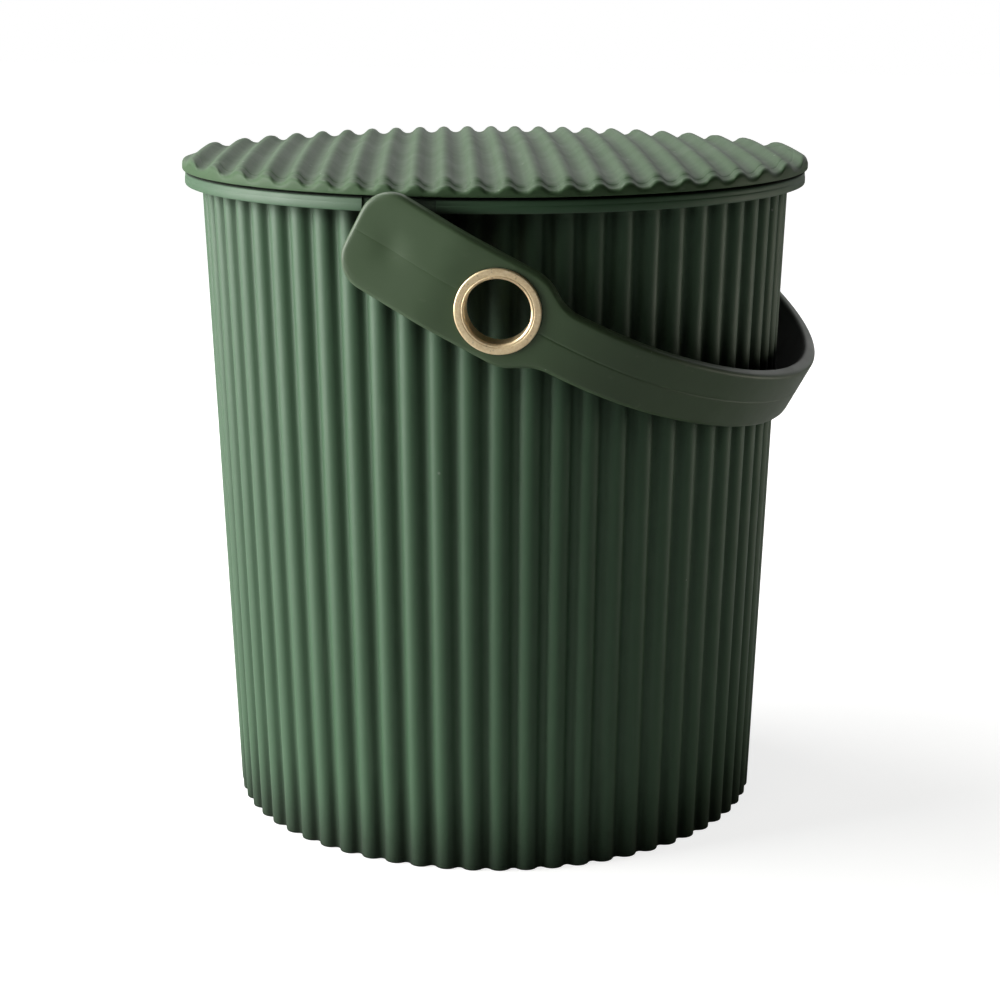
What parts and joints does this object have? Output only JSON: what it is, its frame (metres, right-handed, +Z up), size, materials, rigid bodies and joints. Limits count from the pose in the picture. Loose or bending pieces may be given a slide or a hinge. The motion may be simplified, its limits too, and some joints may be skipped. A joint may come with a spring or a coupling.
{
  "type": "lidded bucket",
  "caption": "Round tapered bucket with a fluted wall, a corrugated lift-off lid and a strap handle that swings over the top.",
  "frame": {"origin": "centre of the base, on the ground", "axes": "+Z up through the lid, Y along the handle's pivots, and the handle hangs on the +X side at rest"},
  "size_m": [0.2716, 0.2852, 0.2844],
  "materials": {
    "bucket_plastic": "satin moulded",
    "lid_plastic": "satin moulded",
    "handle_plastic": "matte moulded",
    "eyelet_metal": "satin pale brass",
    "washer_metal": "satin pale brass"
  },
  "bodies": {
    "bucket_body": {"bucket": "bucket_plastic"},
    "lid_body": {"lid": "lid_plastic"},
    "handle_body": {"handle": "handle_plastic", "eyelet_near": "eyelet_metal", "eyelet_far": "eyelet_metal", "eyelet_washer_near": "washer_metal", "eyelet_washer_far": "washer_metal"}
  },
  "joints": [
    {"name": "handle_swing", "type": "hinge", "parent": "bucket_body", "child": "handle_body", "pos_m": [0, 0, 0.2578], "axis": [0, -1, 0], "range_deg": [0, 237.2]},
    {"name": "lid_lift", "type": "slide", "parent": "bucket_body", "child": "lid_body", "axis": [0, 0, 1], "range_m": [0, 0.05]}
  ]
}
